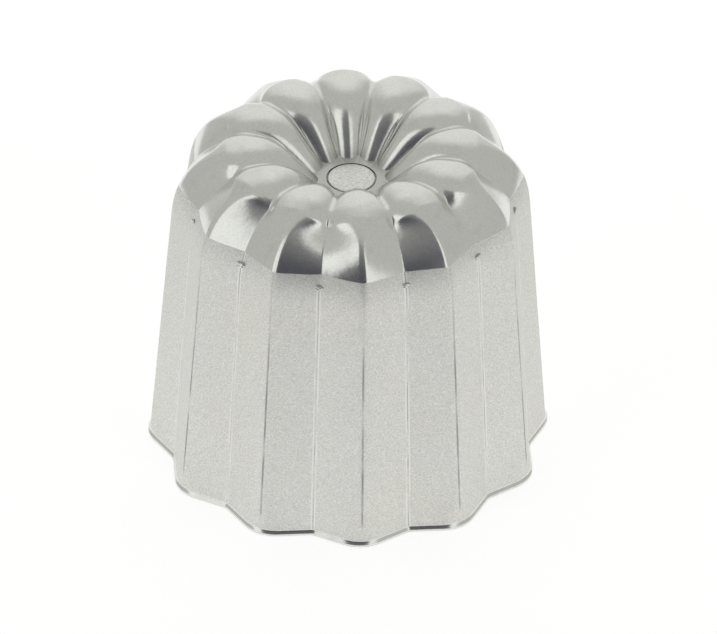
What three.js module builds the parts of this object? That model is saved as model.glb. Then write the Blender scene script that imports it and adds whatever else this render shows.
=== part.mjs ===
// Canele mould: a fluted cup drawn from one sheet, with a small disc set in its crown.
// Millimetres, +Z up. The mould stands mouth down, as it is stored. The origin is the centre of
// the mouth, on the plane that the rim rests on, and a ridge points along +X.

import * as THREE from 'three';

// Sheet and flutes
const sheetThickness = 0.7;
const fluteCount = 12;

// Mouth, measured on the outside of its lip
const mouthRadius = 27.5;
const mouthFluteDepth = 2.1;
const lipFlare = 0.25;
const lipHeight = 1.4;
const lipEdgeHeight = 0.35;

// Wall, straight from the lip to the shoulder
const wallTaper = 3.0;
const shoulderFluteDepth = 1.5;
const ridgeFadeHeight = 4;

// Crown: its height, and how far below it the other levels lie
const crownHeight = 48;
const shoulderDrop = 11;
const ridgeBrowDrop = 0.5;
const valleyDrop = 1.7;
const valleyBrowDrop = 0.9;
const landDrop = 6.25;

// Crown: radii of the brow, the crease between shoulder and lobes, of the crests and of the dish's foot
const ridgeBrowRadius = 17.0;
const valleyBrowRadius = 16.7;
const ridgeCrestRadius = 13.9;
const valleyCrestRadius = 14.9;
const ridgeLandRadius = 4.5;
const valleyLandRadius = 5.4;

// Bends of the ridge line and the valley line, each as a share of the distance that it spans
const ridgeBend = { shoulder: 0.55, brow: 0.57, crest: 0.52, foot: 0.68 };
const valleyBend = { shoulder: 0.6, brow: 0.65, crest: 0.52, foot: 0.75 };

// Slopes of the two lines below and above the brow, and where they meet the land, in degrees
const ridgeSlope = { belowBrow: 30, aboveBrow: 12, foot: 47.5 };
const valleySlope = { belowBrow: 26, aboveBrow: 28, foot: 38 };

// How far the corners between two flanks are rounded, as a share of the flank's width
const lipRounding = 0.4;
const wallRounding = 0.1;
const browRounding = 0.85;
const crestRounding = 0.9;
const footRounding = 0.9;
const valleyRounding = 0.05;

// How pointed a rounded corner is: 1 on the wall and in the valleys, and less over the lobes, which are full
const wallPoint = 1;
const browPoint = 0.3;
const crestPoint = 0.25;
const footPoint = 0.8;
const valleyPoint = 1;

// The ridges stay sharp over most of the shoulder: their rounding grows with this power of the way up it
const shoulderEase = 8;

// Disc in the middle of the crown, and the seat pressed for it
const discRadius = 3.23;
const discThickness = 0.5;
const discEdgeRadius = 0.18;
const discGap = 0.17;
const discProud = 0.05;

// Steps of the mesh
const steps = { edge: 1, lip: 2, fade: 1, wall: 1, shoulder: 7, brow: 2, dish: 7, land: 1, seat: 1 };
const ridgeArcSteps = 6;
const valleyArcSteps = 2;
const discArcSteps = 4;
const discSides = 72;

// Levels and radii that follow from the sizes above
const wallTopHeight = crownHeight - shoulderDrop;
const ridgeWallTopRadius = mouthRadius - lipFlare - wallTaper;
const landHeight = crownHeight - landDrop;
const seatRadius = discRadius + discGap;
const seatHeight = landHeight + discProud - discThickness;
const fluteAngle = (2 * Math.PI) / fluteCount;

// The direction that leads out and up at a slope in degrees, with the radius in x and the height in y.
function sloped(degrees) {
  const slope = THREE.MathUtils.degToRad(degrees);
  return new THREE.Vector2(Math.cos(slope), Math.sin(slope));
}

// One line from the lip up the wall, over the crest and down into the seat, as plane curves with
// the radius in x and the height in y.
function meridian({ lipRadius, wallTopRadius, brow, crest, landRadius, bend, slope }) {
  const wallFoot = new THREE.Vector2(lipRadius - lipFlare, 0);
  const wallTop = new THREE.Vector2(wallTopRadius, wallTopHeight);
  const onWall = (height) => wallFoot.clone().lerp(wallTop, height / wallTopHeight);
  const foot = new THREE.Vector2(landRadius, landHeight);
  const seatEdge = new THREE.Vector2(seatRadius, landHeight);

  const up = wallTop.clone().sub(wallFoot).normalize();
  const shoulderPull = wallTop.clone().addScaledVector(up, bend.shoulder * (brow.y - wallTopHeight));
  const belowBrow = sloped(-slope.belowBrow);
  const browReach = (bend.brow * (wallTopRadius - brow.x)) / belowBrow.x;
  const browPull = brow.clone().addScaledVector(belowBrow, browReach);
  const aboveBrow = sloped(slope.aboveBrow);
  const topPull = new THREE.Vector2(brow.x - ((crest.y - brow.y) * aboveBrow.x) / aboveBrow.y, crest.y);
  const crestPull = new THREE.Vector2(crest.x - bend.crest * (crest.x - landRadius), crest.y);
  const upFromFoot = sloped(slope.foot);
  const footReach = (bend.foot * (crest.y - landHeight)) / upFromFoot.y;
  const footPull = foot.clone().addScaledVector(upFromFoot, footReach);

  const lipEdge = new THREE.Vector2(lipRadius, lipEdgeHeight);
  return {
    edge: new THREE.LineCurve(new THREE.Vector2(lipRadius, 0), lipEdge),
    lip: new THREE.QuadraticBezierCurve(lipEdge, onWall(lipEdgeHeight), onWall(lipHeight)),
    fade: new THREE.LineCurve(onWall(lipHeight), onWall(ridgeFadeHeight)),
    wall: new THREE.LineCurve(onWall(ridgeFadeHeight), wallTop),
    shoulder: new THREE.CubicBezierCurve(wallTop, shoulderPull, browPull, brow),
    brow: new THREE.QuadraticBezierCurve(brow, topPull, crest),
    dish: new THREE.CubicBezierCurve(crest, crestPull, footPull, foot),
    land: new THREE.LineCurve(foot, seatEdge),
    seat: new THREE.LineCurve(seatEdge, new THREE.Vector2(seatRadius, seatHeight)),
  };
}

const ridgeLine = meridian({
  lipRadius: mouthRadius,
  wallTopRadius: ridgeWallTopRadius,
  brow: new THREE.Vector2(ridgeBrowRadius, crownHeight - ridgeBrowDrop),
  crest: new THREE.Vector2(ridgeCrestRadius, crownHeight),
  landRadius: ridgeLandRadius,
  bend: ridgeBend,
  slope: ridgeSlope,
});

const valleyLine = meridian({
  lipRadius: mouthRadius - mouthFluteDepth,
  wallTopRadius: ridgeWallTopRadius - shoulderFluteDepth,
  brow: new THREE.Vector2(valleyBrowRadius, crownHeight - valleyDrop - valleyBrowDrop),
  crest: new THREE.Vector2(valleyCrestRadius, crownHeight - valleyDrop),
  landRadius: valleyLandRadius,
  bend: valleyBend,
  slope: valleySlope,
});

// How far the ridges are rounded, and how pointed they are, at the start and the end of each stretch
const ridgeCorners = {
  edge: { rounding: [lipRounding, lipRounding], point: [wallPoint, wallPoint] },
  lip: { rounding: [lipRounding, lipRounding], point: [wallPoint, wallPoint] },
  fade: { rounding: [lipRounding, wallRounding], point: [wallPoint, wallPoint] },
  wall: { rounding: [wallRounding, wallRounding], point: [wallPoint, wallPoint] },
  shoulder: { rounding: [wallRounding, browRounding], point: [wallPoint, browPoint] },
  brow: { rounding: [browRounding, crestRounding], point: [browPoint, crestPoint] },
  dish: { rounding: [crestRounding, footRounding], point: [crestPoint, footPoint] },
  land: { rounding: [footRounding, footRounding], point: [footPoint, footPoint] },
  seat: { rounding: [footRounding, footRounding], point: [footPoint, footPoint] },
};

// The sharp ridge and valley corners whose rounded flutes run exactly through the two lines.
function sharpCorners(ridge, valley, rounding, point) {
  const ridgeShare = rounding / (1 + point);
  const valleyShare = valleyRounding / (1 + valleyPoint);
  const solve = (ridgeValue, valleyValue, closeness) => {
    const whole = (1 - ridgeShare) * (1 - valleyShare) - ridgeShare * valleyShare * closeness ** 2;
    return {
      ridge: ((1 - valleyShare) * ridgeValue - ridgeShare * closeness * valleyValue) / whole,
      valley: ((1 - ridgeShare) * valleyValue - valleyShare * closeness * ridgeValue) / whole,
    };
  };
  const radius = solve(ridge.x, valley.x, Math.cos(fluteAngle / 2));
  const height = solve(ridge.y, valley.y, 1);
  return {
    ridge: new THREE.Vector2(radius.ridge, height.ridge),
    valley: new THREE.Vector2(radius.valley, height.valley),
  };
}

// Points of a corner between two flanks, rounded over a share of both. The higher its point value, the
// closer the curve comes to the sharp corner.
function roundedCorner(before, corner, after, share, point, count) {
  const start = corner.clone().lerp(before, share);
  const end = corner.clone().lerp(after, share);
  const places = [];
  for (let step = 0; step <= count; step += 1) {
    const along = step / count;
    const startWeight = (1 - along) ** 2;
    const cornerWeight = 2 * point * along * (1 - along);
    const endWeight = along ** 2;
    const place = start.clone().multiplyScalar(startWeight);
    place.addScaledVector(corner, cornerWeight);
    place.addScaledVector(end, endWeight);
    places.push(place.divideScalar(startWeight + cornerWeight + endWeight));
  }
  return places;
}

function turned(point, angle) {
  return new THREE.Vector3(point.x * Math.cos(angle), point.x * Math.sin(angle), point.y);
}

// One row of points round the mould: flat flanks between rounded ridges and valleys.
function fluteRow(ridge, valley, rounding, point) {
  const sharp = sharpCorners(ridge, valley, rounding, point);
  const row = [];
  for (let flute = 0; flute < fluteCount; flute += 1) {
    const angle = flute * fluteAngle;
    const valleyBefore = turned(sharp.valley, angle - fluteAngle / 2);
    const ridgeHere = turned(sharp.ridge, angle);
    const valleyAfter = turned(sharp.valley, angle + fluteAngle / 2);
    const ridgeNext = turned(sharp.ridge, angle + fluteAngle);
    row.push(...roundedCorner(valleyBefore, ridgeHere, valleyAfter, rounding, point, ridgeArcSteps));
    row.push(...roundedCorner(ridgeHere, valleyAfter, ridgeNext, valleyRounding, valleyPoint, valleyArcSteps));
  }
  return row;
}

// The rows of the outer skin, from the rim's edge up the wall and in to the edge of the seat's floor.
function outerRows() {
  const rows = [];
  for (const [stretch, count] of Object.entries(steps)) {
    const corner = ridgeCorners[stretch];
    const ease = stretch === 'shoulder' ? shoulderEase : 1;
    const first = rows.length === 0 ? 0 : 1;
    for (let step = first; step <= count; step += 1) {
      const along = step / count;
      const rounding = THREE.MathUtils.lerp(...corner.rounding, along ** ease);
      const point = THREE.MathUtils.lerp(...corner.point, along ** ease);
      const ridge = ridgeLine[stretch].getPointAt(along);
      const valley = valleyLine[stretch].getPointAt(along);
      rows.push(fluteRow(ridge, valley, rounding, point));
    }
  }
  return rows;
}

// The normal of the patch between two rows and two columns.
function patchNormal(rows, row, column) {
  const next = (column + 1) % rows[row].length;
  const rising = rows[row + 1][next].clone().sub(rows[row][column]);
  const falling = rows[row + 1][column].clone().sub(rows[row][next]);
  return rising.cross(falling).normalize();
}

// The inner skin lies one sheet thickness behind every patch of the outer skin that meets at a point.
function innerRows(rows, floorNormal) {
  return rows.map((points, row) => points.map((point, column) => {
    const previous = (column + points.length - 1) % points.length;
    const patches = [];
    for (const side of [previous, column]) {
      if (row > 0) patches.push(patchNormal(rows, row - 1, side));
      patches.push(row < rows.length - 1 ? patchNormal(rows, row, side) : floorNormal);
    }
    const normal = patches.reduce((sum, patch) => sum.add(patch), new THREE.Vector3()).normalize();
    const facing = patches.reduce((sum, patch) => sum + patch.dot(normal), 0) / patches.length;
    return point.clone().addScaledVector(normal, -sheetThickness / facing);
  }));
}

// A closed skin through rows of points, with a fan from a pole at each end.
function closedLoft(rows, firstPole, lastPole) {
  const columns = rows[0].length;
  const points = [...rows.flat(), firstPole, lastPole];
  const firstPoleIndex = points.length - 2;
  const lastPoleIndex = points.length - 1;
  const lastRowStart = (rows.length - 1) * columns;
  const triangles = [];
  for (let column = 0; column < columns; column += 1) {
    const next = (column + 1) % columns;
    triangles.push(firstPoleIndex, next, column);
    for (let row = 0; row < rows.length - 1; row += 1) {
      const low = row * columns;
      const high = low + columns;
      triangles.push(low + column, low + next, high + next);
      triangles.push(low + column, high + next, high + column);
    }
    triangles.push(lastPoleIndex, lastRowStart + column, lastRowStart + next);
  }
  const geometry = new THREE.BufferGeometry().setFromPoints(points);
  geometry.setIndex(triangles);
  geometry.computeVertexNormals();
  return geometry;
}

// Fluted shell: the inner skin from the crown down to the rim, then the outer skin back up.
function makeFlutedShell() {
  const up = new THREE.Vector3(0, 0, 1);
  const outer = outerRows();
  const inner = innerRows(outer, up);
  const floorUnder = new THREE.Vector3(0, 0, seatHeight - sheetThickness);
  const floorTop = new THREE.Vector3(0, 0, seatHeight);
  const geometry = closedLoft([...inner.reverse(), ...outer], floorUnder, floorTop);
  const material = new THREE.MeshStandardMaterial({ color: 0xc9cac4, roughness: 0.32, metalness: 1 });
  const shell = new THREE.Mesh(geometry, material);
  shell.name = 'fluted_shell';
  return shell;
}

// Centre disc: a flat disc with a rounded upper edge, lying on the floor of its seat.
function makeCentreDisc() {
  const edgeCentreRadius = discRadius - discEdgeRadius;
  const edgeCentreHeight = discThickness - discEdgeRadius;
  const profile = [new THREE.Vector2(0, 0), new THREE.Vector2(discRadius, 0)];
  for (let step = 0; step <= discArcSteps; step += 1) {
    const angle = (step / discArcSteps) * (Math.PI / 2);
    const radius = edgeCentreRadius + discEdgeRadius * Math.cos(angle);
    const height = edgeCentreHeight + discEdgeRadius * Math.sin(angle);
    profile.push(new THREE.Vector2(radius, height));
  }
  profile.push(new THREE.Vector2(0, discThickness));
  const geometry = new THREE.LatheGeometry(profile, discSides);
  geometry.rotateX(Math.PI / 2);
  const material = new THREE.MeshStandardMaterial({ color: 0xd0d1cb, roughness: 0.38, metalness: 1 });
  const disc = new THREE.Mesh(geometry, material);
  disc.name = 'centre_disc';
  disc.position.z = seatHeight;
  return disc;
}

const caneleMould = new THREE.Group();
caneleMould.add(makeFlutedShell(), makeCentreDisc());

export default caneleMould;
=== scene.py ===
"""Canele mould: a fluted cup drawn from one metal sheet, with a small disc set in its crown.

Laid out as an add-on and run as a script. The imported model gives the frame: metres, +Z up, the origin in
the middle of the mouth on the plane that the rim rests on, and a ridge of the fluting along +X.
"""

import math

import bpy
from bpy.props import FloatProperty, FloatVectorProperty, IntProperty, PointerProperty
from bpy.types import Operator, Panel, PropertyGroup
from mathutils import Matrix, Vector


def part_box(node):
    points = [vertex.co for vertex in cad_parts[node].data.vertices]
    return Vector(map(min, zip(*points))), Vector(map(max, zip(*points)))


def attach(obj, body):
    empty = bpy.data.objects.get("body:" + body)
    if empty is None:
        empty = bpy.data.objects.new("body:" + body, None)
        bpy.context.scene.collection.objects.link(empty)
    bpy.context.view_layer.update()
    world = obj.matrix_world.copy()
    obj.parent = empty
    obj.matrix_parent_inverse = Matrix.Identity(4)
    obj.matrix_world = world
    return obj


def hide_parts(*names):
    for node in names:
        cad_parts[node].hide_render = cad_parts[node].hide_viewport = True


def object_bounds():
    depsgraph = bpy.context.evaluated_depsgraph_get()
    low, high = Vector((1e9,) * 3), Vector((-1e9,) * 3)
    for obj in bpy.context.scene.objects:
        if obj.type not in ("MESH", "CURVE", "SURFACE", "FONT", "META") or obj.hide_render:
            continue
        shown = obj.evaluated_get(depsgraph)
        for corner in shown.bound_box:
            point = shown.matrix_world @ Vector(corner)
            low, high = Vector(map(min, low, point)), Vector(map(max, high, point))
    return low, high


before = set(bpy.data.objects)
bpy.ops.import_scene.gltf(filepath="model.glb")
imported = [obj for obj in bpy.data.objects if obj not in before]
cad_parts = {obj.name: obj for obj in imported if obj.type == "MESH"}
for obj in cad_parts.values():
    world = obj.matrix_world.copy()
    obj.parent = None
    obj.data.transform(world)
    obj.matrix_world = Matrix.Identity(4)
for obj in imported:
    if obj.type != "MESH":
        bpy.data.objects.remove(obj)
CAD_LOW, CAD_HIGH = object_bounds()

bl_info = {
    "name": "Canele Mould",
    "version": (1, 0, 0),
    "blender": (4, 5, 0),
    "location": "3D View > Sidebar > Mould",
    "description": "Builds a fluted canele mould with its centre disc, and a studio round it",
    "category": "Add Mesh",
}

MM = 0.001
DISC_LOW, DISC_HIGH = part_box("centre_disc")

# Bends of the ridge line and the valley line, each as a share of the distance that it spans
RIDGE_BEND = {"shoulder": 0.55, "brow": 0.57, "crest": 0.52, "foot": 0.68}
VALLEY_BEND = {"shoulder": 0.55, "brow": 0.62, "crest": 0.52, "foot": 0.75}

# Slopes of the two lines below and above the crease of the brow, and where they meet the land
RIDGE_SLOPE = {"below_brow": math.radians(30), "above_brow": math.radians(12), "foot": math.radians(47.5)}
VALLEY_SLOPE = {"below_brow": math.radians(32), "above_brow": math.radians(58), "foot": math.radians(38)}

# The next amounts run along the lines: each holds from the rim on, and changes by the end of a stretch named

# How far the corners between two flanks are rounded, as a share of the flank's width
RIDGE_ROUNDING = {"rim": 0.4, "fade": 0.1, "shoulder": 0.8, "brow": 0.82, "dish": 0.9}
VALLEY_ROUNDING = {"rim": 0.05, "brow": 0.16, "dish": 0.05}

# How far the middle of a flank bulges out of its flat
FLANK_BULGE = {"rim": 0.0, "fade": 0.12 * MM, "dish": 0.0}

# How pointed a rounded corner is: 1 on the wall, and less over the crest, where the lobes are full
RIDGE_POINT = {"rim": 1.0, "shoulder": 0.5, "brow": 0.45, "dish": 0.8}
VALLEY_POINT = 1.0

# The ridges stay sharp over most of the shoulder: their rounding grows with this power of the way up it
SHOULDER_EASE = 8.0

# Rows of mesh in each stretch of the two lines, from the rim's edge to the middle of the disc's seat
STRETCH_ROWS = {
    "edge": 1,
    "lip": 6,
    "fade": 4,
    "wall": 8,
    "shoulder": 36,
    "brow": 8,
    "dish": 26,
    "land": 1,
    "seat": 1,
    "floor": 1,
}
COLUMNS_PER_FLUTE = 40
RIDGE_SHARE_OF_COLUMNS = 0.7
ARC_SHARE_OF_COLUMNS = 0.7
CURVE_STEPS = 64
MERGE_DISTANCE = 0.001 * MM
SHARP_EDGE_ANGLE = math.radians(40)
CUT_EDGE_ANGLE = math.radians(60)
BEVEL_SEGMENTS = 2

# Width of the image that the camera is set for, in pixels, and of its sensor, in millimetres
IMAGE_WIDTH = 717
SENSOR_WIDTH = 36.0


def length(name, description, metres):
    """A size property, shown in the scene's unit of length."""
    return FloatProperty(name=name, description=description, default=metres, precision=5,
                         subtype="DISTANCE", unit="LENGTH")


def share(name, description, value):
    """A property between 0 and 1."""
    return FloatProperty(name=name, description=description, default=value, min=0.0, max=1.0,
                         subtype="FACTOR")


def angle(name, description, degrees):
    """An angle property."""
    return FloatProperty(name=name, description=description, default=math.radians(degrees),
                         subtype="ANGLE", unit="ROTATION")


def colour(name, description, value):
    """A linear colour property."""
    return FloatVectorProperty(name=name, description=description, default=value, size=3,
                               min=0.0, max=2.0, subtype="COLOR")


class MouldSizes(PropertyGroup):
    """Sizes of the mould, on the outside of its sheet."""

    flute_count: IntProperty(name="Flutes", description="Ridges round the mould", default=12, min=3)
    sheet_thickness: length("Sheet", "Thickness of the metal sheet", 0.7 * MM)
    mouth_radius: length("Mouth", "Radius of the mouth across the lip's ridges", CAD_HIGH[0])
    mouth_flute_depth: length("Mouth Flutes", "Depth of the flutes at the mouth", 2.1 * MM)
    lip_flare: length("Lip Flare", "How far the lip stands out from the wall", 0.25 * MM)
    lip_height: length("Lip Height", "Height at which the lip runs into the wall", 0.8 * MM)
    lip_bend_height: length("Lip Bend", "Height at which the wall meets the lip's slope", 0.7 * MM)
    lip_edge_height: length("Lip Edge", "Height of the lip's upright edge", 0.35 * MM)
    edge_bevel: length("Edge Bevel", "Rounding of the sheet's cut edges", 0.1 * MM)
    wall_taper: length("Taper", "How far the wall leans in from the mouth to the shoulder", 3.0 * MM)
    ridge_fade_height: length("Ridge Fade", "Height at which the ridges are fully sharp", 4.0 * MM)
    shoulder_flute_depth: length("Shoulder Flutes", "Depth of the flutes at the shoulder", 1.5 * MM)
    crown_height: length("Height", "Height of the lobes' crests", CAD_HIGH[2])
    shoulder_drop: length("Shoulder Drop", "From the crests down to the wall's top", 11.0 * MM)
    ridge_brow_drop: length("Ridge Brow Drop", "From a ridge's crest down to its brow", 0.5 * MM)
    valley_drop: length("Valley Drop", "From the crests down to the tops of the valleys", 1.0 * MM)
    valley_brow_drop: length("Valley Brow Drop", "From a valley's top down to its brow", 1.35 * MM)
    land_drop: length("Land Drop", "From the crests down to the flat land round the disc", 6.25 * MM)
    ridge_brow_radius: length("Ridge Brow", "Radius at which a ridge leaves the shoulder", 17.0 * MM)
    valley_brow_radius: length("Valley Brow", "Radius at which a valley leaves the shoulder", 16.8 * MM)
    ridge_crest_radius: length("Ridge Crest", "Radius at which a ridge is highest", 13.9 * MM)
    valley_crest_radius: length("Valley Crest", "Radius at which a valley is highest", 14.4 * MM)
    ridge_land_radius: length("Ridge Foot", "Radius at which a ridge meets the land", 4.5 * MM)
    valley_land_radius: length("Valley Foot", "Radius at which a valley meets the land", 5.4 * MM)
    disc_radius: length("Disc", "Radius of the centre disc", DISC_HIGH[0])
    disc_edge_radius: length("Disc Edge", "Rounding of the disc's upper edge", 0.18 * MM)
    disc_gap: length("Disc Gap", "Gap between the disc and the wall of its seat", 0.17 * MM)
    dent_depth: length("Dents", "Depth of the slight dents that pressing leaves", 0.03 * MM)
    dent_width: length("Dent Width", "Distance from one slight dent to the next", 7.0 * MM)
    pinch_height: length("Pinch Height", "Height of the pinched folds in the valleys", 39.55 * MM)
    pinch_width: length("Pinch Width", "Width of a pinched fold", 1.4 * MM)
    pinch_rise: length("Pinch Rise", "Height of one wrinkle of a fold", 0.56 * MM)
    pinch_depth: length("Pinch Depth", "How far a pinched fold stands out", 0.38 * MM)


class MouldFinish(PropertyGroup):
    """Colours and finishes of the metal."""

    wall_colour: colour("Wall", "Satin metal of the wall", (0.91, 0.91, 0.875))
    wall_tint: colour("Wall Tint", "Warmer satin metal in faint patches", (0.91, 0.90, 0.845))
    wall_roughness: share("Wall Roughness", "Roughness of the satin wall", 0.6)
    grain_dark: colour("Dark Grain", "Darker grains of the satin wall", (0.72, 0.72, 0.685))
    # Pale marks: the grain's pale flecks, and the painted highlights beside the valleys
    pale_grain_and_highlight: colour("Pale Marks", "Worn lines and grains on the satin wall", (1.0, 1.0, 0.97))
    # Dark marks: painted shade down the ridges, in the valleys' cores and in the folds' grooves
    painted_shade: colour("Dark Marks", "Creases of the wall and grooves of the folds", (0.42, 0.42, 0.41))
    crown_colour: colour("Crown", "Polished metal of the crown", (0.865, 0.87, 0.835))
    crown_dull: colour("Dull Crown", "Dull grain and rubbed spots of the crown", (0.67, 0.675, 0.64))
    # Painted shade in the hollow round the disc
    hollow_shade: colour("Hollow", "Duller metal in the hollow round the disc", (0.56, 0.565, 0.54))
    crown_roughness: share("Crown Roughness", "Roughness of the polished crown", 0.2)
    polish_height: length("Polish Height", "Height of the boundary between wall and crown", 41.34 * MM)
    disc_colour: colour("Disc", "Finely brushed metal of the disc", (0.83, 0.83, 0.805))
    disc_roughness: share("Disc Roughness", "Roughness of the disc's face", 0.26)
    grain_size: length("Grain", "Size of the satin wall's grain", 0.24 * MM)
    lip_polish_height: length("Lip Polish", "Height up to which the lip is polished", 0.85 * MM)
    # Width of the painted shade down a ridge, and spacing of the two painted highlights in a valley
    crease_width: length("Crease", "Width of the dark line that runs down a ridge", 0.26 * MM)
    valley_highlight_spacing: length("Valley Line", "Distance between the two pale lines in a valley", 0.42 * MM)


class StudioSetup(PropertyGroup):
    """Camera and surroundings of the mould."""

    camera_turn: angle("Camera Turn", "Turn of the camera from the front towards the left", 4.55)
    camera_elevation: angle("Camera Elevation", "Height of the camera above the horizon", 37.0)
    camera_roll: angle("Camera Roll", "Lean of the picture", 0.84)
    camera_distance: length("Camera Distance", "From the camera to the point it looks at", 1.2)
    aim_right: length("Aim Right", "Point looked at, to the right of the mould's axis", 1.222 * MM)
    aim_height: length("Aim Height", "Point looked at, above the floor", 18.312 * MM)
    focal_pixels: FloatProperty(name="Focal Length", description="Focal length in pixels of the image",
                                default=8807.0)
    floor_radius: length("Floor", "Radius of the white floor", 0.3)
    floor_share: share("Floor Shade", "Share of the floor's white that takes shadows", 0.4)
    floor_glow: share("Floor Glow", "Share of the floor's white that takes no shadows", 0.8)
    floor_sheen: share("Floor Sheen", "White of the floor in front, as the metal sees it", 0.7)
    floor_back_sheen: share("Floor Back Sheen", "White of the floor behind, as the metal sees it", 0.72)
    cloth: colour("Cloth", "Grey cloth above and beside the mould", (0.50, 0.505, 0.485))
    back_cloth: colour("Back Cloth", "Paler cloth behind the mould", (0.78, 0.785, 0.76))
    opening_frame: colour("Opening Frame", "Bright frame round the opening", (0.95, 0.955, 0.94))
    opening: colour("Opening", "Dark opening that the camera looks through", (0.085, 0.085, 0.1))
    opening_top: colour("Opening Top", "Less dark upper part of the opening", (0.26, 0.26, 0.26))


class Field:
    """A node's output that takes part in plain arithmetic, where each step adds one Math node."""

    def __init__(self, tree, socket):
        self.tree = tree
        self.socket = socket

    def __add__(self, other):
        return compute("ADD", self, other)

    def __radd__(self, other):
        return compute("ADD", other, self)

    def __sub__(self, other):
        return compute("SUBTRACT", self, other)

    def __rsub__(self, other):
        return compute("SUBTRACT", other, self)

    def __mul__(self, other):
        return compute("MULTIPLY", self, other)

    def __rmul__(self, other):
        return compute("MULTIPLY", other, self)

    def __truediv__(self, other):
        return compute("DIVIDE", self, other)

    def __rtruediv__(self, other):
        return compute("DIVIDE", other, self)

    def __abs__(self):
        return compute("ABSOLUTE", self)


def feed(tree, socket, value):
    """Link a field to an input, or write a plain value on it."""
    if isinstance(value, Field):
        tree.links.new(value.socket, socket)
    else:
        socket.default_value = value


def add_node(tree, kind, inputs=None, **options):
    """Add a node with its options set and its inputs filled."""
    node = tree.nodes.new(kind)
    for option, value in options.items():
        setattr(node, option, value)
    for name, value in (inputs or {}).items():
        feed(tree, node.inputs[name], value)
    return node


def field(tree, kind, output, inputs=None, **options):
    """Add a node and hand back one of its outputs."""
    node = add_node(tree, kind, inputs, **options)
    return Field(tree, node.outputs[output])


def compute(operation, *values):
    """One Math node on fields and plain numbers."""
    tree = next(value.tree for value in values if isinstance(value, Field))
    inputs = dict(enumerate(values))
    return field(tree, "ShaderNodeMath", "Value", inputs, operation=operation)


def blend(first, second, amount):
    """A value that goes from the first field to the second as the amount goes from 0 to 1."""
    return first + (second - first) * amount


def ramp(value, start, end):
    """A smooth step from 0 where the value is at start to 1 where it is at end."""
    inputs = {"Value": value, "From Min": start, "From Max": end}
    return field(value.tree, "ShaderNodeMapRange", "Result", inputs, interpolation_type="SMOOTHSTEP")


def mix_colour(first, second, amount):
    """A colour between two, by the amount."""
    # The colour sockets share their names with others, so they go by number
    node = add_node(amount.tree, "ShaderNodeMix", data_type="RGBA")
    feed(amount.tree, node.inputs[0], amount)
    for socket, value in ((node.inputs[6], first), (node.inputs[7], second)):
        feed(amount.tree, socket, value if isinstance(value, Field) else (*value, 1.0))
    return Field(amount.tree, node.outputs[2])


def split(tree, vector):
    """The three fields of a vector."""
    node = add_node(tree, "ShaderNodeSeparateXYZ", {"Vector": vector})
    return [Field(tree, output) for output in node.outputs]


def join(tree, x, y, z):
    """A vector from three fields or numbers."""
    return field(tree, "ShaderNodeCombineXYZ", "Vector", {"X": x, "Y": y, "Z": z})


def noise(tree, vector, size, detail=2.0):
    """Soft noise between 0 and 1; the size is the distance from one of its marks to the next."""
    inputs = {"Vector": vector, "Scale": 1 / size, "Detail": detail}
    return field(tree, "ShaderNodeTexNoise", 0, inputs)


def node_tree(name, inputs, output_name):
    """A Geometry Nodes tree with named inputs; gives the tree, its input fields and its output node."""
    tree = bpy.data.node_groups.new(name, "GeometryNodeTree")
    for label, kind in inputs.items():
        tree.interface.new_socket(label, in_out="INPUT", socket_type="NodeSocket" + kind)
    tree.interface.new_socket(output_name, in_out="OUTPUT", socket_type="NodeSocketGeometry")
    source = tree.nodes.new("NodeGroupInput")
    fields = {label: Field(tree, source.outputs[label]) for label in inputs}
    return tree, fields, tree.nodes.new("NodeGroupOutput")


def finish_geometry(tree, geometry, metal, output):
    """Realize what a tree has made and give it its metal."""
    real = field(tree, "GeometryNodeRealizeInstances", "Geometry", {"Geometry": geometry})
    coated = field(tree, "GeometryNodeSetMaterial", "Geometry", {"Geometry": real, "Material": metal})
    feed(tree, output.inputs[0], coated)


def new_object(name, data):
    """A new object in the scene."""
    piece = bpy.data.objects.new(name, data)
    bpy.context.collection.objects.link(piece)
    return piece


def grow(name, tree, values):
    """A new object that a Geometry Nodes tree makes, with each of the tree's inputs set."""
    piece = new_object(name, bpy.data.meshes.new(name))
    modifier = piece.modifiers.new(name, "NODES")
    modifier.node_group = tree
    for item in tree.interface.items_tree:
        if item.in_out == "INPUT":
            modifier[item.identifier] = values[item.name]
    return piece


def make_plain(piece):
    """Turn a piece's modifiers into its mesh."""
    graph = bpy.context.evaluated_depsgraph_get()
    mesh = bpy.data.meshes.new_from_object(piece.evaluated_get(graph), depsgraph=graph)
    mesh.name = piece.name
    piece.modifiers.clear()
    piece.data = mesh


def settle(piece, slot, *nodes):
    """Let a finished piece ride on the mould and stand for its nodes."""
    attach(piece, "root")
    if nodes:
        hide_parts(*nodes)


# Fluted shell

def straight(start, end):
    """A straight stretch, as the four points of a cubic curve."""
    return start, start.lerp(end, 1 / 3), start.lerp(end, 2 / 3), end


def bowed(start, pull, end):
    """A stretch that one pull bends, as the four points of a cubic curve."""
    return start, start.lerp(pull, 2 / 3), end.lerp(pull, 2 / 3), end


def sloped(slope):
    """The direction that leads out and up at a slope."""
    return Vector((math.cos(slope), math.sin(slope)))


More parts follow.
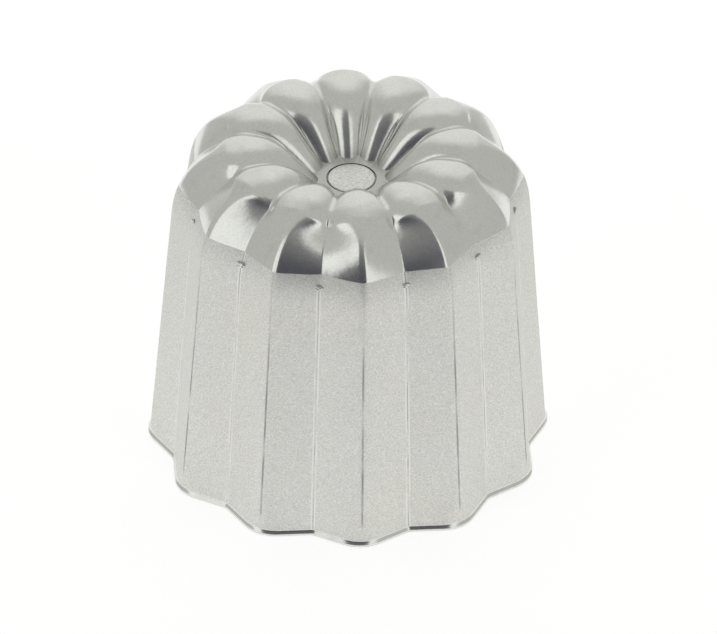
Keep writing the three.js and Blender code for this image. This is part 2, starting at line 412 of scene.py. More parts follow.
def meridian(sizes, mouth_radius, wall_top_radius, brow, crest, land_radius, bend, slope):
    """A line from the rim over the crest into the seat: radius and height of each stretch's four points."""
    wall_foot = Vector((mouth_radius - sizes.lip_flare, 0))
    wall_top = Vector((wall_top_radius, sizes.crown_height - sizes.shoulder_drop))
    foot = Vector((land_radius, sizes.crown_height - sizes.land_drop))
    seat_edge = Vector((sizes.disc_radius + sizes.disc_gap, foot.y))
    seat_foot = Vector((seat_edge.x, DISC_LOW[2]))

    def on_wall(height):
        return wall_foot.lerp(wall_top, height / wall_top.y)

    up = (wall_top - wall_foot).normalized()
    shoulder_pull = wall_top + up * bend["shoulder"] * (brow.y - wall_top.y)
    brow_reach = bend["brow"] * (wall_top.x - brow.x) / math.cos(slope["below_brow"])
    brow_pull = brow + sloped(-slope["below_brow"]) * brow_reach
    top_pull = Vector((brow.x - (crest.y - brow.y) / math.tan(slope["above_brow"]), crest.y))
    crest_pull = crest - Vector((bend["crest"] * (crest.x - foot.x), 0))
    foot_pull = foot + sloped(slope["foot"]) * bend["foot"] * (crest.y - foot.y) / math.sin(slope["foot"])

    lip_edge = Vector((mouth_radius, sizes.lip_edge_height))
    lip_end = on_wall(sizes.lip_height)
    fade_end = on_wall(sizes.ridge_fade_height)
    return {
        "edge": straight(Vector((mouth_radius, 0)), lip_edge),
        "lip": bowed(lip_edge, on_wall(sizes.lip_bend_height), lip_end),
        "fade": straight(lip_end, fade_end),
        "wall": straight(fade_end, wall_top),
        "shoulder": (wall_top, shoulder_pull, brow_pull, brow),
        "brow": bowed(brow, top_pull, crest),
        "dish": (crest, crest_pull, foot_pull, foot),
        "land": straight(foot, seat_edge),
        "seat": straight(seat_edge, seat_foot),
        "floor": straight(seat_foot, Vector((0, seat_foot.y))),
    }


def ridge_meridian(sizes):
    """The line that the ridges follow."""
    wall_top_radius = sizes.mouth_radius - sizes.lip_flare - sizes.wall_taper
    crest = Vector((sizes.ridge_crest_radius, sizes.crown_height))
    brow = Vector((sizes.ridge_brow_radius, crest.y - sizes.ridge_brow_drop))
    return meridian(sizes, sizes.mouth_radius, wall_top_radius, brow, crest, sizes.ridge_land_radius,
                    RIDGE_BEND, RIDGE_SLOPE)


def valley_meridian(sizes):
    """The line that the valleys follow."""
    mouth_radius = sizes.mouth_radius - sizes.mouth_flute_depth
    wall_top_radius = sizes.mouth_radius - sizes.lip_flare - sizes.wall_taper - sizes.shoulder_flute_depth
    crest = Vector((sizes.valley_crest_radius, sizes.crown_height - sizes.valley_drop))
    brow = Vector((sizes.valley_brow_radius, crest.y - sizes.valley_brow_drop))
    return meridian(sizes, mouth_radius, wall_top_radius, brow, crest, sizes.valley_land_radius,
                    VALLEY_BEND, VALLEY_SLOPE)


def along_line(amounts):
    """An amount at the start and at the end of each stretch."""
    ends = {}
    start = amounts["rim"]
    for name in STRETCH_ROWS:
        end = amounts.get(name, start)
        ends[name] = (start, end)
        start = end
    return ends


def guide_curve(name, stretches, amounts):
    """A curve object with one cubic spline for each stretch; a point's radius holds an amount there."""
    curve = bpy.data.curves.new(name, "CURVE")
    curve.dimensions = "3D"
    for stretch, points in stretches.items():
        spline = curve.splines.new("BEZIER")
        spline.bezier_points.add(1)
        spline.resolution_u = CURVE_STEPS
        start, pull_start, pull_end, end = (Vector((point.x, 0, point.y)) for point in points)
        ends = ((start, start, pull_start), (end, pull_end, end))
        for knot, (place, left, right), amount in zip(spline.bezier_points, ends, amounts[stretch]):
            knot.handle_left_type = "FREE"
            knot.handle_right_type = "FREE"
            knot.co = place
            knot.handle_left = left
            knot.handle_right = right
            knot.radius = amount
    return new_object(name, curve)


def sharp_corners(ridge, valley, ridge_share, valley_share, closeness):
    """The sharp corners whose rounded flutes run exactly through the ridge line and the valley line."""
    whole = (1 - ridge_share) * (1 - valley_share) - ridge_share * valley_share * closeness * closeness
    sharp_ridge = ((1 - valley_share) * ridge - ridge_share * closeness * valley) / whole
    sharp_valley = ((1 - ridge_share) * valley - valley_share * closeness * ridge) / whole
    return sharp_ridge, sharp_valley


def flute_patch_tree():
    """A patch of fluted skin along one stretch: flanks between rounded ridges and rounded valleys."""
    tree, given, output = node_tree("flute_patch", {
        "Ridge Line": "Geometry",
        "Valley Line": "Geometry",
        "Stretch": "Int",
        "Rows": "Int",
        "Flutes": "Int",
        "Valley Rounding": "Float",
        "Valley Rounding End": "Float",
        "Bulge": "Float",
        "Bulge End": "Float",
        "Ease": "Float",
    }, "Patch")
    grid = field(tree, "GeometryNodeMeshGrid", "Mesh", {
        "Size X": 1.0,
        "Size Y": 1.0,
        "Vertices X": given["Flutes"] * COLUMNS_PER_FLUTE + 1,
        "Vertices Y": given["Rows"] + 1,
    })
    flat_x, flat_y, _ = split(tree, field(tree, "GeometryNodeInputPosition", "Position"))
    along = flat_y + 0.5
    eased = compute("POWER", along, given["Ease"])

    def sampled(line, output, factor):
        return field(tree, "GeometryNodeSampleCurve", output, {
            "Curves": given[line],
            "Value": field(tree, "GeometryNodeInputRadius", "Radius"),
            "Factor": factor,
            "Curve Index": given["Stretch"],
        }, mode="FACTOR", use_all_curves=False, data_type="FLOAT")

    lines = {}
    for line in ("Ridge Line", "Valley Line"):
        radius, _, height = split(tree, sampled(line, "Position", along))
        lines[line] = radius, height, sampled(line, "Value", eased)
    ridge_radius, ridge_height, ridge_rounding = lines["Ridge Line"]
    valley_radius, valley_height, ridge_point = lines["Valley Line"]
    valley_rounding = blend(given["Valley Rounding"], given["Valley Rounding End"], eased)

    half_flute = math.pi / given["Flutes"]
    closeness = compute("COSINE", half_flute)
    shares = ridge_rounding / (1 + ridge_point), valley_rounding / 2
    ridge_radius, valley_radius = sharp_corners(ridge_radius, valley_radius, *shares, closeness)
    ridge_height, valley_height = sharp_corners(ridge_height, valley_height, *shares, 1)

    # Each point belongs to a corner, a ridge or a valley, and lies on the flank to one side of it
    flute = (flat_x + 0.5) * given["Flutes"]
    ridge = compute("ROUND", flute)
    side = compute("SIGN", flute - ridge)
    across = abs(flute - ridge) * 2
    in_valley = compute("GREATER_THAN", across, RIDGE_SHARE_OF_COLUMNS)
    from_ridge = across / RIDGE_SHARE_OF_COLUMNS
    from_valley = (1 - across) / (1 - RIDGE_SHARE_OF_COLUMNS)
    outward = blend(from_ridge, from_valley, in_valley)

    def own_and_other(at_ridge, at_valley):
        return blend(at_ridge, at_valley, in_valley), blend(at_valley, at_ridge, in_valley)

    own_radius, other_radius = own_and_other(ridge_radius, valley_radius)
    own_height, other_height = own_and_other(ridge_height, valley_height)
    own_rounding, other_rounding = own_and_other(ridge_rounding, valley_rounding)
    own_point = blend(ridge_point, VALLEY_POINT, in_valley)

    # The first columns from a corner take its rounding, a conic, and the rest run on along the flank
    on_arc = outward / ARC_SHARE_OF_COLUMNS
    on_flank = (outward - ARC_SHARE_OF_COLUMNS) / (1 - ARC_SHARE_OF_COLUMNS)
    meeting = (1 + own_rounding - other_rounding) / 2
    flank_share = blend(own_rounding, meeting, on_flank)
    past_arc = compute("GREATER_THAN", on_arc, 1)
    square = on_arc * on_arc
    weight = 1 + square + own_point * (1 - square)
    share_in = blend(own_rounding * (1 + square) / weight, flank_share, past_arc)
    share_across = blend(own_rounding * on_arc * 2 / weight, flank_share, past_arc)

    # The flank's run and its width give the way out of it, along which it bulges
    run_in = other_radius * closeness - own_radius
    run_across = other_radius * compute("SINE", half_flute)
    width = compute("SQRT", run_in * run_in + run_across * run_across)
    bulge = blend(given["Bulge"], given["Bulge End"], along) * share_across * (1 - share_across) * 4 / width
    inward = own_radius + share_in * run_in + bulge * run_across
    sideways = blend(side, side * -1, in_valley) * (share_across * run_across - bulge * run_in)
    height = own_height + share_in * (other_height - own_height)
    turn = (ridge * 2 + side * in_valley) * half_flute
    cosine = compute("COSINE", turn)
    sine = compute("SINE", turn)
    place = join(tree, inward * cosine - sideways * sine, inward * sine + sideways * cosine, height)

    bent = field(tree, "GeometryNodeSetPosition", "Geometry", {"Geometry": grid, "Position": place})
    feed(tree, output.inputs[0], bent)
    return tree


def fluted_shell_tree():
    """The outer skin of the shell: one patch for each stretch, joined, with slight dents."""
    tree, given, output = node_tree("fluted_shell", {
        "Ridge Line": "Object",
        "Valley Line": "Object",
        "Flutes": "Int",
        "Dent Depth": "Float",
        "Dent Width": "Float",
        "Metal": "Material",
    }, "Skin")
    patch_tree = flute_patch_tree()
    lines = {name: field(tree, "GeometryNodeObjectInfo", "Geometry", {"Object": given[name]})
             for name in ("Ridge Line", "Valley Line")}
    roundings = along_line(VALLEY_ROUNDING)
    bulges = along_line(FLANK_BULGE)
    joined = add_node(tree, "GeometryNodeJoinGeometry")
    for stretch, (name, rows) in enumerate(STRETCH_ROWS.items()):
        patch = field(tree, "GeometryNodeGroup", "Patch", {}, node_tree=patch_tree)
        node = patch.socket.node
        values = {
            **lines,
            "Stretch": stretch,
            "Rows": rows,
            "Flutes": given["Flutes"],
            "Valley Rounding": roundings[name][0],
            "Valley Rounding End": roundings[name][1],
            "Bulge": bulges[name][0],
            "Bulge End": bulges[name][1],
            "Ease": SHOULDER_EASE if name == "shoulder" else 1.0,
        }
        for label, value in values.items():
            feed(tree, node.inputs[label], value)
        feed(tree, joined.inputs[0], patch)
    skin = field(tree, "GeometryNodeMergeByDistance", "Geometry", {
        "Geometry": Field(tree, joined.outputs[0]),
        "Distance": MERGE_DISTANCE,
    })

    # Dents only go inwards, so the skin stays within its size
    position = field(tree, "GeometryNodeInputPosition", "Position")
    depth = noise(tree, position, given["Dent Width"]) * given["Dent Depth"]
    inward = field(tree, "ShaderNodeVectorMath", "Vector", {
        0: field(tree, "GeometryNodeInputNormal", "Normal"),
        "Scale": depth * -1,
    }, operation="SCALE")
    dented = field(tree, "GeometryNodeSetPosition", "Geometry", {"Geometry": skin, "Offset": inward})
    smooth = field(tree, "GeometryNodeSetShadeSmooth", "Geometry", {"Geometry": dented})
    bend = field(tree, "GeometryNodeInputMeshEdgeAngle", "Unsigned Angle")
    sharp = compute("GREATER_THAN", bend, SHARP_EDGE_ANGLE)
    creased = field(tree, "GeometryNodeSetShadeSmooth", "Geometry", {
        "Geometry": smooth,
        "Selection": sharp,
        "Shade Smooth": False,
    }, domain="EDGE")
    finish_geometry(tree, creased, given["Metal"], output)
    return tree


class MOULD_OT_fluted_shell(Operator):
    """Draw the fluted shell from its ridge line and its valley line."""

    bl_idname = "mould.fluted_shell"
    bl_label = "Fluted Shell"

    def execute(self, context):
        sizes = context.scene.mould_sizes
        guides = {
            "Ridge Line": guide_curve("ridge_line", ridge_meridian(sizes), along_line(RIDGE_ROUNDING)),
            "Valley Line": guide_curve("valley_line", valley_meridian(sizes), along_line(RIDGE_POINT)),
        }
        shell = grow("shell", fluted_shell_tree(), {
            **guides,
            "Flutes": sizes.flute_count,
            "Dent Depth": sizes.dent_depth,
            "Dent Width": sizes.dent_width,
            "Metal": shell_metal(context.scene.mould_finish, sizes),
        })
        sheet = shell.modifiers.new("sheet", "SOLIDIFY")
        sheet.thickness = sizes.sheet_thickness
        sheet.offset = -1
        sheet.use_even_offset = True
        sheet.use_quality_normals = True
        bevel = shell.modifiers.new("bevel", "BEVEL")
        bevel.width = sizes.edge_bevel
        bevel.segments = BEVEL_SEGMENTS
        bevel.limit_method = "ANGLE"
        bevel.angle_limit = CUT_EDGE_ANGLE
        make_plain(shell)

        # The sheet's inner skin may dip a hair below the rim
        for vertex in shell.data.vertices:
            vertex.co.z = max(vertex.co.z, 0)
        for guide in guides.values():
            bpy.data.curves.remove(guide.data)
        settle(shell, "shell_metal", "fluted_shell")
        return {"FINISHED"}


# Pinched folds

# The wrinkles of a fold: how high each lies, in heights of a wrinkle, and how large it is
WRINKLES = ((0.35, 1.0), (-0.45, 0.75))

# The ball that a wrinkle is bent from, and the wave along it, in sizes of that ball
BALL_SEGMENTS = 20
BALL_RINGS = 12
BALL_RADIUS = 0.5
WAVE_RATE = 5
WAVE_HEIGHT = 0.22

# How far out on the ball the painted shade of a groove ends and begins
GROOVE_SHADE_REACH = (0.32, 0.16)

# The folds differ a little: least and most tilt, in radians, and size, and the seeds they are drawn with
FOLD_TILT = (-0.2, 0.6)
FOLD_SIZE = (0.7, 1.05)
TILT_SEED = 4
SIZE_SEED = 9

# The attributes that mark the polished metal of a fold and the painted shade in the grooves round its
# wrinkles
POLISHED = "polished"
GROOVE_SHADE = "groove"

# Halvings when a height is looked up on a line
SEARCH_STEPS = 40


def drawn(tree, least, most, seed):
    """A random value for each point, the same on every run."""
    # The sockets for plain numbers share their names with others, so they go by number
    inputs = {2: least, 3: most, "Seed": seed}
    return field(tree, "FunctionNodeRandomValue", 1, inputs, data_type="FLOAT")


def pinched_folds_tree():
    """A small fold of two polished wrinkles in each valley, where the metal gathered as it was drawn."""
    tree, given, output = node_tree("pinched_folds", {
        "Flutes": "Int",
        "Radius": "Float",
        "Height": "Float",
        "Width": "Float",
        "Rise": "Float",
        "Depth": "Float",
        "Metal": "Material",
    }, "Folds")
    ball = field(tree, "GeometryNodeMeshUVSphere", "Mesh", {
        "Segments": BALL_SEGMENTS,
        "Rings": BALL_RINGS,
        "Radius": BALL_RADIUS,
    })
    along, out, up = split(tree, field(tree, "GeometryNodeInputPosition", "Position"))
    wave = compute("SINE", along * WAVE_RATE) * WAVE_HEIGHT
    shape = join(tree, along * given["Width"], out * given["Depth"] * 2, (up + wave) * given["Rise"])
    # The groove mark is painted shade, full round the rim of each wrinkle where it meets the wall
    marks = {POLISHED: 1.0, GROOVE_SHADE: ramp(abs(out), *GROOVE_SHADE_REACH)}
    for name, value in marks.items():
        ball = field(tree, "GeometryNodeStoreNamedAttribute", "Geometry", {
            "Geometry": ball,
            "Name": name,
            "Value": value,
        }, data_type="FLOAT", domain="POINT")
    wrinkle = field(tree, "GeometryNodeSetPosition", "Geometry", {"Geometry": ball, "Position": shape})
    wrinkle = field(tree, "GeometryNodeSetShadeSmooth", "Geometry", {"Geometry": wrinkle})
    fold = add_node(tree, "GeometryNodeJoinGeometry")
    for level, scale in WRINKLES:
        feed(tree, fold.inputs[0], field(tree, "GeometryNodeTransform", "Geometry", {
            "Geometry": wrinkle,
            "Translation": join(tree, 0.0, 0.0, given["Rise"] * level),
            "Scale": (scale, scale, scale),
        }))

    ring = field(tree, "GeometryNodeMeshCircle", "Mesh", {
        "Vertices": given["Flutes"],
        "Radius": given["Radius"],
    })
    number = field(tree, "GeometryNodeInputIndex", "Index")
    step = math.tau / given["Flutes"]
    turn = (number + 0.5) * step
    spot = join(tree, given["Radius"] * compute("COSINE", turn), given["Radius"] * compute("SINE", turn),
                given["Height"])
    spots = field(tree, "GeometryNodeSetPosition", "Geometry", {"Geometry": ring, "Position": spot})
    tilt = drawn(tree, *FOLD_TILT, TILT_SEED)
    size = drawn(tree, *FOLD_SIZE, SIZE_SEED)
    folds = field(tree, "GeometryNodeInstanceOnPoints", "Instances", {
        "Points": spots,
        "Instance": Field(tree, fold.outputs[0]),
        "Rotation": join(tree, 0.0, tilt, turn + math.pi / 2),
        "Scale": join(tree, size, size, size),
    })
    finish_geometry(tree, folds, given["Metal"], output)
    return tree


def cubic_point(stretch, share_along):
    """A point of a cubic curve."""
    points = list(stretch)
    while len(points) > 1:
        points = [start.lerp(end, share_along) for start, end in zip(points, points[1:])]
    return points[0]


def radius_at(stretch, height):
    """The radius at which a stretch that rises all the way passes a height."""
    low, high = 0.0, 1.0
    for _ in range(SEARCH_STEPS):
        middle = (low + high) / 2
        point = cubic_point(stretch, middle)
        if point.y < height:
            low = middle
        else:
            high = middle
    return point.x


class MOULD_OT_pinched_folds(Operator):
    """Set the pinched folds into the valleys, just below the polished crown."""

    bl_idname = "mould.pinched_folds"
    bl_label = "Pinched Folds"

    def execute(self, context):
        sizes = context.scene.mould_sizes
        folds = grow("pinched_folds", pinched_folds_tree(), {
            "Flutes": sizes.flute_count,
            "Radius": radius_at(valley_meridian(sizes)["shoulder"], sizes.pinch_height),
            "Height": sizes.pinch_height,
            "Width": sizes.pinch_width,
            "Rise": sizes.pinch_rise,
            "Depth": sizes.pinch_depth,
            "Metal": shell_metal(context.scene.mould_finish, sizes),
        })
        make_plain(folds)
        settle(folds, "shell_metal")
        return {"FINISHED"}


# Centre disc

DISC_SIDES = 144
DISC_ARC_STEPS = 6
DISC_FACE_RINGS = 6


def disc_profile(sizes):
    """Radius and height from the middle of the disc's underside out, round its edge and in over its face."""
    radius = sizes.disc_radius
    edge = sizes.disc_edge_radius
    profile = [(radius - edge / 2, DISC_LOW[2]), (radius, DISC_LOW[2] + edge / 2)]
    for step in range(DISC_ARC_STEPS + 1):
        turn = math.pi / 2 * step / DISC_ARC_STEPS
        profile.append((radius - edge + edge * math.cos(turn), DISC_HIGH[2] - edge + edge * math.sin(turn)))
    face_radius = radius - edge
    for ring in range(1, DISC_FACE_RINGS):
        profile.append((face_radius * (1 - ring / DISC_FACE_RINGS), DISC_HIGH[2]))
    return profile


def lathe(name, profile, sides):
    """A closed mesh: a profile turned about the Z axis, with a point on the axis at each end."""
    points = [(0, 0, profile[0][1])]
    faces = []
    for radius, height in profile:
        for side in range(sides):
            turn = math.tau * side / sides
            points.append((radius * math.cos(turn), radius * math.sin(turn), height))
    points.append((0, 0, profile[-1][1]))
    last_ring = 1 + (len(profile) - 1) * sides
    for side in range(sides):
        following = (side + 1) % sides
        faces.append((0, 1 + following, 1 + side))
        for ring in range(len(profile) - 1):
            low = 1 + ring * sides
            high = low + sides
            faces.append((low + side, low + following, high + following, high + side))
        faces.append((last_ring + side, last_ring + following, len(points) - 1))
    mesh = bpy.data.meshes.new(name)
    mesh.from_pydata(points, [], faces)
    mesh.shade_smooth()
    return mesh


class MOULD_OT_centre_disc(Operator):
    """Lay the centre disc in its seat."""

    bl_idname = "mould.centre_disc"
    bl_label = "Centre Disc"

    def execute(self, context):
        sizes = context.scene.mould_sizes
        mesh = lathe("disc", disc_profile(sizes), DISC_SIDES)
        mesh.materials.append(disc_metal(context.scene.mould_finish))
        disc = new_object("disc", mesh)
        settle(disc, "disc_metal", "centre_disc")
        return {"FINISHED"}


# Metals

# Distance from one mark of each texture to the next
WAVER_SIZE = 10 / 3 * MM
LINE_BREAKUP_SIZE = 1.2 * MM
STREAK_SIZE = 0.5 * MM
PATCH_SIZE = 9 * MM
RUBBED_SIZE = 2.5 * MM
RIPPLE_SIZE = 1.8 * MM
BRUSH_SIZE = 0.12 * MM
CLOUD_SIZE = 1.5 * MM
SPECK_SIZE = 0.3 * MM

# How far each texture is squeezed along one axis: below 1 it is drawn out instead
GRAIN_SQUEEZE = 1.5
LINE_BREAKUP_SQUEEZE = 0.2
STREAK_SQUEEZE = 0.03
BRUSH_SQUEEZE = 0.1

# Between which values of its noise each texture comes to show in full
SHOWS = {
    "patches": (0.45, 0.75),
    "dark_grain": (0.66, 0.26),
    "pale_grain": (0.5, 0.8),
    "crown_grain": (0.7, 0.3),
    "rubbed": (0.5, 0.75),
    # The next three show the painted lines: shade down a ridge, highlights beside a valley and shade in its
    # core
    "crease": (0.2, 0.6),
    "valley_highlight": (0.3, 0.55),
    "valley_core_shade": (0.4, 0.65),
    "specks": (0.3, 0.6),
}

# Strength of the textures in the colour, from 0 to 1, and their swing in the roughness
CROWN_GRAIN_STRENGTH = 0.35
RUBBED_STRENGTH = 0.3
# Strength of the painted shade in a valley's core
VALLEY_SHADE_STRENGTH = 0.6
# How much of the painted shade down a ridge fades away higher up
CREASE_FADE = 0.8
SPECK_SHADE = 0.8
GRAIN_SWING = 0.12
STREAK_SWING = 0.08
RUBBED_SWING = 0.08
CLOUD_SWING = 0.15

# Depths of the bumps
GRAIN_DEPTH = 0.012 * MM
STREAK_DEPTH = 0.012 * MM
POLISHED_GRAIN_DEPTH = 0.003 * MM
RIPPLE_DEPTH = 0.022 * MM
BRUSH_DEPTH = 0.006 * MM

# How far the boundary of the polish wavers, how soft it is, and where the painted shade in the hollow round
# the disc sets in
POLISH_WAVER = 0.25 * MM
POLISH_SOFTNESS = 0.06 * MM
HOLLOW_SHADE_REACH = (6.2 * MM, 4.6 * MM)

# Heights between which the painted shade down the ridges sets in and fades
CREASE_START = (2.0 * MM, 4.0 * MM)
CREASE_END = (24 * MM, 38 * MM)

# Where each painted line starts and ends to show, from its middle: the shade down a ridge in shares of its
# width, and the highlights and the shade in a valley in distances
CREASE_EDGE = (0.7, 0.3)
VALLEY_HIGHLIGHT_EDGE = (0.14 * MM, 0.04 * MM)
VALLEY_SHADE_EDGE = (0.12 * MM, 0.04 * MM)


def new_metal(name):
    """A metal material with its shader; gives the tree and the shader node."""
    material = bpy.data.materials.new(name)
    material.use_nodes = True
    tree = material.node_tree
    shader = tree.nodes["Principled BSDF"]
    shader.inputs["Metallic"].default_value = 1.0
    return material, tree, shader


def bump(tree, height, depth, normal=None):
    """A bumped normal; the depth is the height of a full step, in metres."""
    inputs = {"Height": height, "Distance": depth, "Strength": 1.0}
    if normal is not None:
        inputs["Normal"] = normal
    return field(tree, "ShaderNodeBump", "Normal", inputs)


def wall_shade_and_highlights(tree, finish, sizes, x, y, z, radius):
    """Painted shade down the ridges and in the valleys' cores of the satin wall, and painted highlights
    beside each valley.
    """
    half_flute = math.pi / sizes.flute_count
    turn = compute("PINGPONG", compute("ARCTAN2", y, x), half_flute)
    from_ridge = turn * radius
    from_valley = (half_flute - turn) * radius
    # Noise that breaks the painted shade and highlights up along their length
    line_breakup = noise(tree, join(tree, x, y, z * LINE_BREAKUP_SQUEEZE), LINE_BREAKUP_SIZE)

    wide, narrow = CREASE_EDGE
    line = ramp(from_ridge, wide * finish.crease_width, narrow * finish.crease_width)
    fading = 1 - ramp(z, *CREASE_END) * CREASE_FADE
    crease = line * ramp(z, *CREASE_START) * fading * ramp(line_breakup, *SHOWS["crease"])

    # Painted highlights on both sides of each valley, and painted shade in its core
    line = ramp(abs(from_valley - finish.valley_highlight_spacing / 2), *VALLEY_HIGHLIGHT_EDGE)
    valley_highlight = line * ramp(line_breakup, *SHOWS["valley_highlight"])
    valley_shade = ramp(from_valley, *VALLEY_SHADE_EDGE) * ramp(line_breakup, *SHOWS["valley_core_shade"]) * VALLEY_SHADE_STRENGTH
    return compute("MAXIMUM", crease, valley_shade), valley_highlight


def shell_metal(finish, sizes):
    """Satin, finely grained metal below a polished crown, with a crisp boundary between them."""
    existing = bpy.data.materials.get("shell_metal_finish")
    if existing is not None:
        return existing
    material, tree, shader = new_metal("shell_metal_finish")
    place = field(tree, "ShaderNodeTexCoord", "Object")
    x, y, z = split(tree, place)
    radius = compute("SQRT", x * x + y * y)

    # The crown, the lip and the pinched folds are polished, and the rest is satin
    waver = (noise(tree, place, WAVER_SIZE) - 0.5) * POLISH_WAVER
    crown_start = finish.polish_height - POLISH_SOFTNESS
    crown = ramp(z + waver, crown_start, finish.polish_height + POLISH_SOFTNESS)
    lip_end = finish.lip_polish_height + POLISH_SOFTNESS
    lip = ramp(z, lip_end, finish.lip_polish_height - POLISH_SOFTNESS)
    folds = field(tree, "ShaderNodeAttribute", "Fac", attribute_name=POLISHED)
    polish = compute("MAXIMUM", compute("MAXIMUM", crown, lip), folds)
    satin = 1 - polish

    grain = noise(tree, join(tree, x, y, z * GRAIN_SQUEEZE), finish.grain_size, detail=3.0)
    streaks = noise(tree, join(tree, x, y, z * STREAK_SQUEEZE), STREAK_SIZE)
    patches = noise(tree, place, PATCH_SIZE)
    rubbed = noise(tree, place, RUBBED_SIZE, detail=4.0)
    ripples = noise(tree, place, RIPPLE_SIZE)

    # Painted shade down the ridges and valleys, and painted highlights beside the valleys
    crease, valley_highlight = wall_shade_and_highlights(tree, finish, sizes, x, y, z, radius)
    # The pale mix holds both the painted valley highlights and the grain's own pale flecks
    pale = compute("MAXIMUM", valley_highlight, ramp(grain, *SHOWS["pale_grain"]))
    wall = mix_colour(finish.wall_colour, finish.wall_tint, ramp(patches, *SHOWS["patches"]))
    wall = mix_colour(wall, finish.grain_dark, ramp(grain, *SHOWS["dark_grain"]))
    wall = mix_colour(wall, finish.pale_grain_and_highlight, pale)
    wall = mix_colour(wall, finish.painted_shade, crease)

    dull_grain = ramp(grain, *SHOWS["crown_grain"]) * CROWN_GRAIN_STRENGTH
    dull = dull_grain + ramp(rubbed, *SHOWS["rubbed"]) * RUBBED_STRENGTH
    # Painted shade in the grooves round the folds' wrinkles
    groove = field(tree, "ShaderNodeAttribute", "Fac", attribute_name=GROOVE_SHADE)
    bright = mix_colour(finish.crown_colour, finish.crown_dull, dull)
    # Painted shade in the hollow round the disc
    bright = mix_colour(bright, finish.hollow_shade, ramp(radius, *HOLLOW_SHADE_REACH) * crown)
    bright = mix_colour(bright, finish.painted_shade, groove)
    feed(tree, shader.inputs["Base Color"], mix_colour(wall, bright, polish))

    wall_roughness = finish.wall_roughness + (grain - 0.5) * GRAIN_SWING + (streaks - 0.5) * STREAK_SWING
    crown_roughness = finish.crown_roughness + (rubbed - 0.5) * RUBBED_SWING
    feed(tree, shader.inputs["Roughness"], blend(wall_roughness, crown_roughness, polish))

    normal = bump(tree, grain * satin, GRAIN_DEPTH)
    normal = bump(tree, streaks * satin, STREAK_DEPTH, normal)
    normal = bump(tree, (streaks + grain) * polish, POLISHED_GRAIN_DEPTH, normal)
    feed(tree, shader.inputs["Normal"], bump(tree, ripples * polish, RIPPLE_DEPTH, normal))
    return material


def disc_metal(finish):
    """Finely brushed, slightly speckled metal."""
    material, tree, shader = new_metal("disc_metal_finish")
    place = field(tree, "ShaderNodeTexCoord", "Object")
    x, y, z = split(tree, place)
    brushed = noise(tree, join(tree, x * BRUSH_SQUEEZE, y, z), BRUSH_SIZE)
    clouded = noise(tree, place, CLOUD_SIZE, detail=3.0)
    feed(tree, shader.inputs["Roughness"], finish.disc_roughness + (clouded - 0.5) * CLOUD_SWING)
    specks = noise(tree, place, SPECK_SIZE, detail=3.0)
    dull = [part * SPECK_SHADE for part in finish.disc_colour]
    speckled = mix_colour(dull, finish.disc_colour, ramp(specks, *SHOWS["specks"]))
    feed(tree, shader.inputs["Base Color"], speckled)
    feed(tree, shader.inputs["Normal"], bump(tree, brushed, BRUSH_DEPTH))
    return material


# Studio

FLOOR_SIDES = 96

# Where the floor passes from its front part to its back part
FLOOR_MIDDLE = (-20 * MM, 20 * MM)

# The bright frame and the dark opening of the tent, in degrees: middle, half width and height
FRAME_ARCH = (-9.0, 62.0, 60.0)
OPENING_ARCH = (-5.0, 37.0, 67.0)

# Where the outlines of the two begin and end, on a scale that is 1 on the outline
FRAME_EDGE = (1.15, 0.85)
OPENING_EDGE = (1.15, 0.8)

# In degrees: where the opening grows less dark with height, and where the tent turns pale towards the back
OPENING_FADE = (18.0, 75.0)
BACK_RISE = (112.0, 136.0)
BACK_BEARING = (130.0, 172.0)


def floor_material(studio):
    """White that keeps a shadow, with its own brightness for the camera and for the metal's reflections."""
    material = bpy.data.materials.new("white_floor")
    material.use_nodes = True
    tree = material.node_tree
    tree.nodes.clear()
    path = add_node(tree, "ShaderNodeLightPath")
    _, y, _ = split(tree, field(tree, "ShaderNodeTexCoord", "Object"))
    sheen = blend(studio.floor_sheen, studio.floor_back_sheen, ramp(y, *FLOOR_MIDDLE))
    in_metal = Field(tree, path.outputs["Is Glossy Ray"]) * sheen
    seen = compute("MAXIMUM", Field(tree, path.outputs["Is Camera Ray"]) * studio.floor_glow, in_metal)
    shade = (studio.floor_share, studio.floor_share, studio.floor_share, 1.0)
    diffuse = field(tree, "ShaderNodeBsdfDiffuse", "BSDF", {"Color": shade})
    glow = field(tree, "ShaderNodeEmission", "Emission", {"Strength": seen})
    both = field(tree, "ShaderNodeAddShader", "Shader", {0: diffuse, 1: glow})
    output = add_node(tree, "ShaderNodeOutputMaterial")
    feed(tree, output.inputs["Surface"], both)
    return material


def make_floor(studio):
    """A round white floor."""
    points = []
    for side in range(FLOOR_SIDES):
        turn = math.tau * side / FLOOR_SIDES
        points.append((studio.floor_radius * math.cos(turn), studio.floor_radius * math.sin(turn), 0))
    mesh = bpy.data.meshes.new("floor")
    mesh.from_pydata(points, [], [tuple(range(FLOOR_SIDES))])
    mesh.materials.append(floor_material(studio))
    new_object("floor", mesh)


def camera_axes(studio):
    """The camera's right, up and backward directions, before its roll."""
    turn = Matrix.Rotation(-studio.camera_turn, 3, "Z")
    right = turn @ Vector((1, 0, 0))
    rise = studio.camera_elevation
    back = turn @ Vector((0, -math.cos(rise), math.sin(rise)))
    return right, back.cross(right), back


def make_camera(studio):
    """The camera, at the picture's viewing angle."""
    right, up, back = camera_axes(studio)
    lean = Matrix.Rotation(studio.camera_roll, 3, back)
    axes = Matrix((lean @ right, lean @ up, back)).transposed()
    aim = right * studio.aim_right + Vector((0, 0, studio.aim_height))
    data = bpy.data.cameras.new("camera")
    data.sensor_fit = "HORIZONTAL"
    data.sensor_width = SENSOR_WIDTH
    data.lens = studio.focal_pixels / IMAGE_WIDTH * SENSOR_WIDTH
    camera = new_object("camera", data)
    camera.matrix_world = Matrix.Translation(aim + back * studio.camera_distance) @ axes.to_4x4()
    bpy.context.scene.camera = camera


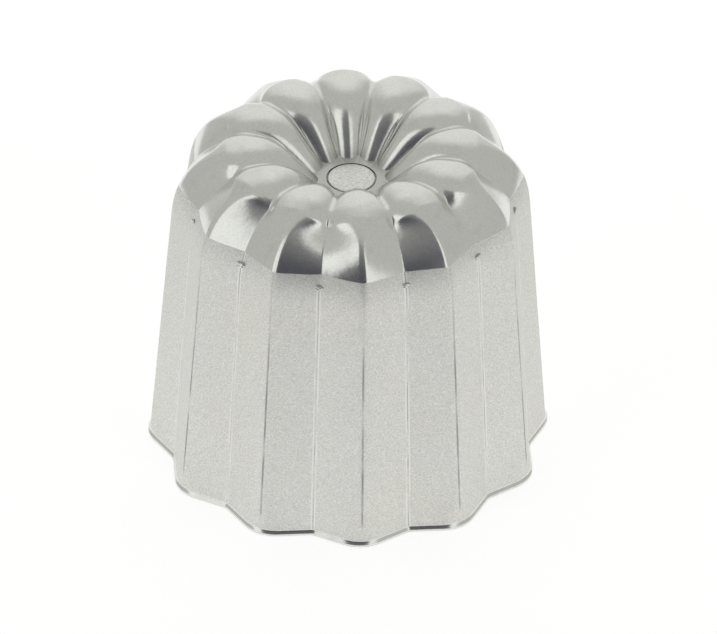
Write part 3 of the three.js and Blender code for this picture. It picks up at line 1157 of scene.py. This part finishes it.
def make_surroundings(studio):
    """A grey tent, paler at the back, with a dark opening in front inside a bright frame."""
    world = bpy.data.worlds.new("tent")
    bpy.context.scene.world = world
    world.use_nodes = True
    tree = world.node_tree
    tree.nodes.clear()
    right, _, back = camera_axes(studio)
    front = Vector((back.x, back.y, 0)).normalized()
    direction = field(tree, "ShaderNodeTexCoord", "Generated")

    def along(axis):
        return field(tree, "ShaderNodeVectorMath", "Value", {0: direction, 1: axis}, operation="DOT_PRODUCT")

    over = along(Vector((0, 0, 1)))
    ahead = along(front)
    bearing = compute("DEGREES", compute("ARCTAN2", along(right), ahead))
    elevation = compute("DEGREES", compute("ARCSINE", over))
    rise = compute("DEGREES", compute("ARCTAN2", over, ahead))

    def fourth_power(value):
        return value * value * value * value

    def arch(middle, half_width, height):
        return fourth_power((bearing - middle) / half_width) + fourth_power(elevation / height)

    behind = ramp(abs(rise), *BACK_RISE) * ramp(abs(bearing), *BACK_BEARING)
    shade = mix_colour(studio.opening, studio.opening_top, ramp(elevation, *OPENING_FADE))
    cloth = mix_colour(studio.cloth, studio.back_cloth, behind)
    cloth = mix_colour(cloth, studio.opening_frame, ramp(arch(*FRAME_ARCH), *FRAME_EDGE))
    cloth = mix_colour(cloth, shade, ramp(arch(*OPENING_ARCH), *OPENING_EDGE))
    camera_ray = field(tree, "ShaderNodeLightPath", "Is Camera Ray")
    seen = mix_colour(cloth, (1.0, 1.0, 1.0), camera_ray)
    background = field(tree, "ShaderNodeBackground", "Background", {"Color": seen})
    output = add_node(tree, "ShaderNodeOutputWorld")
    feed(tree, output.inputs["Surface"], background)


class MOULD_OT_studio(Operator):
    """Set up the white floor, the grey tent and the camera."""

    bl_idname = "mould.studio"
    bl_label = "Studio"

    def execute(self, context):
        studio = context.scene.mould_studio
        make_floor(studio)
        make_surroundings(studio)
        make_camera(studio)
        context.scene.view_settings.view_transform = "Standard"
        return {"FINISHED"}


class MOULD_PT_panel(Panel):
    """The mould's pieces and its studio, in the sidebar."""

    bl_label = "Canele Mould"
    bl_idname = "MOULD_PT_panel"
    bl_space_type = "VIEW_3D"
    bl_region_type = "UI"
    bl_category = "Mould"

    def draw(self, context):
        for operator in OPERATORS:
            self.layout.operator(operator.bl_idname)


OPERATORS = (MOULD_OT_fluted_shell, MOULD_OT_pinched_folds, MOULD_OT_centre_disc, MOULD_OT_studio)
SETTINGS = {"mould_sizes": MouldSizes, "mould_finish": MouldFinish, "mould_studio": StudioSetup}


def register():
    """Make the classes and the settings known to Blender."""
    for cls in (*SETTINGS.values(), *OPERATORS, MOULD_PT_panel):
        bpy.utils.register_class(cls)
    for name, group in SETTINGS.items():
        setattr(bpy.types.Scene, name, PointerProperty(type=group))


def unregister():
    """Take the settings and the classes away again."""
    for name in SETTINGS:
        delattr(bpy.types.Scene, name)
    for cls in reversed((*SETTINGS.values(), *OPERATORS, MOULD_PT_panel)):
        bpy.utils.unregister_class(cls)


def main():
    """Build the pieces and the studio."""
    register()
    bpy.ops.mould.fluted_shell()
    bpy.ops.mould.pinched_folds()
    bpy.ops.mould.centre_disc()
    bpy.ops.mould.studio()


if __name__ == "__main__":
    main()
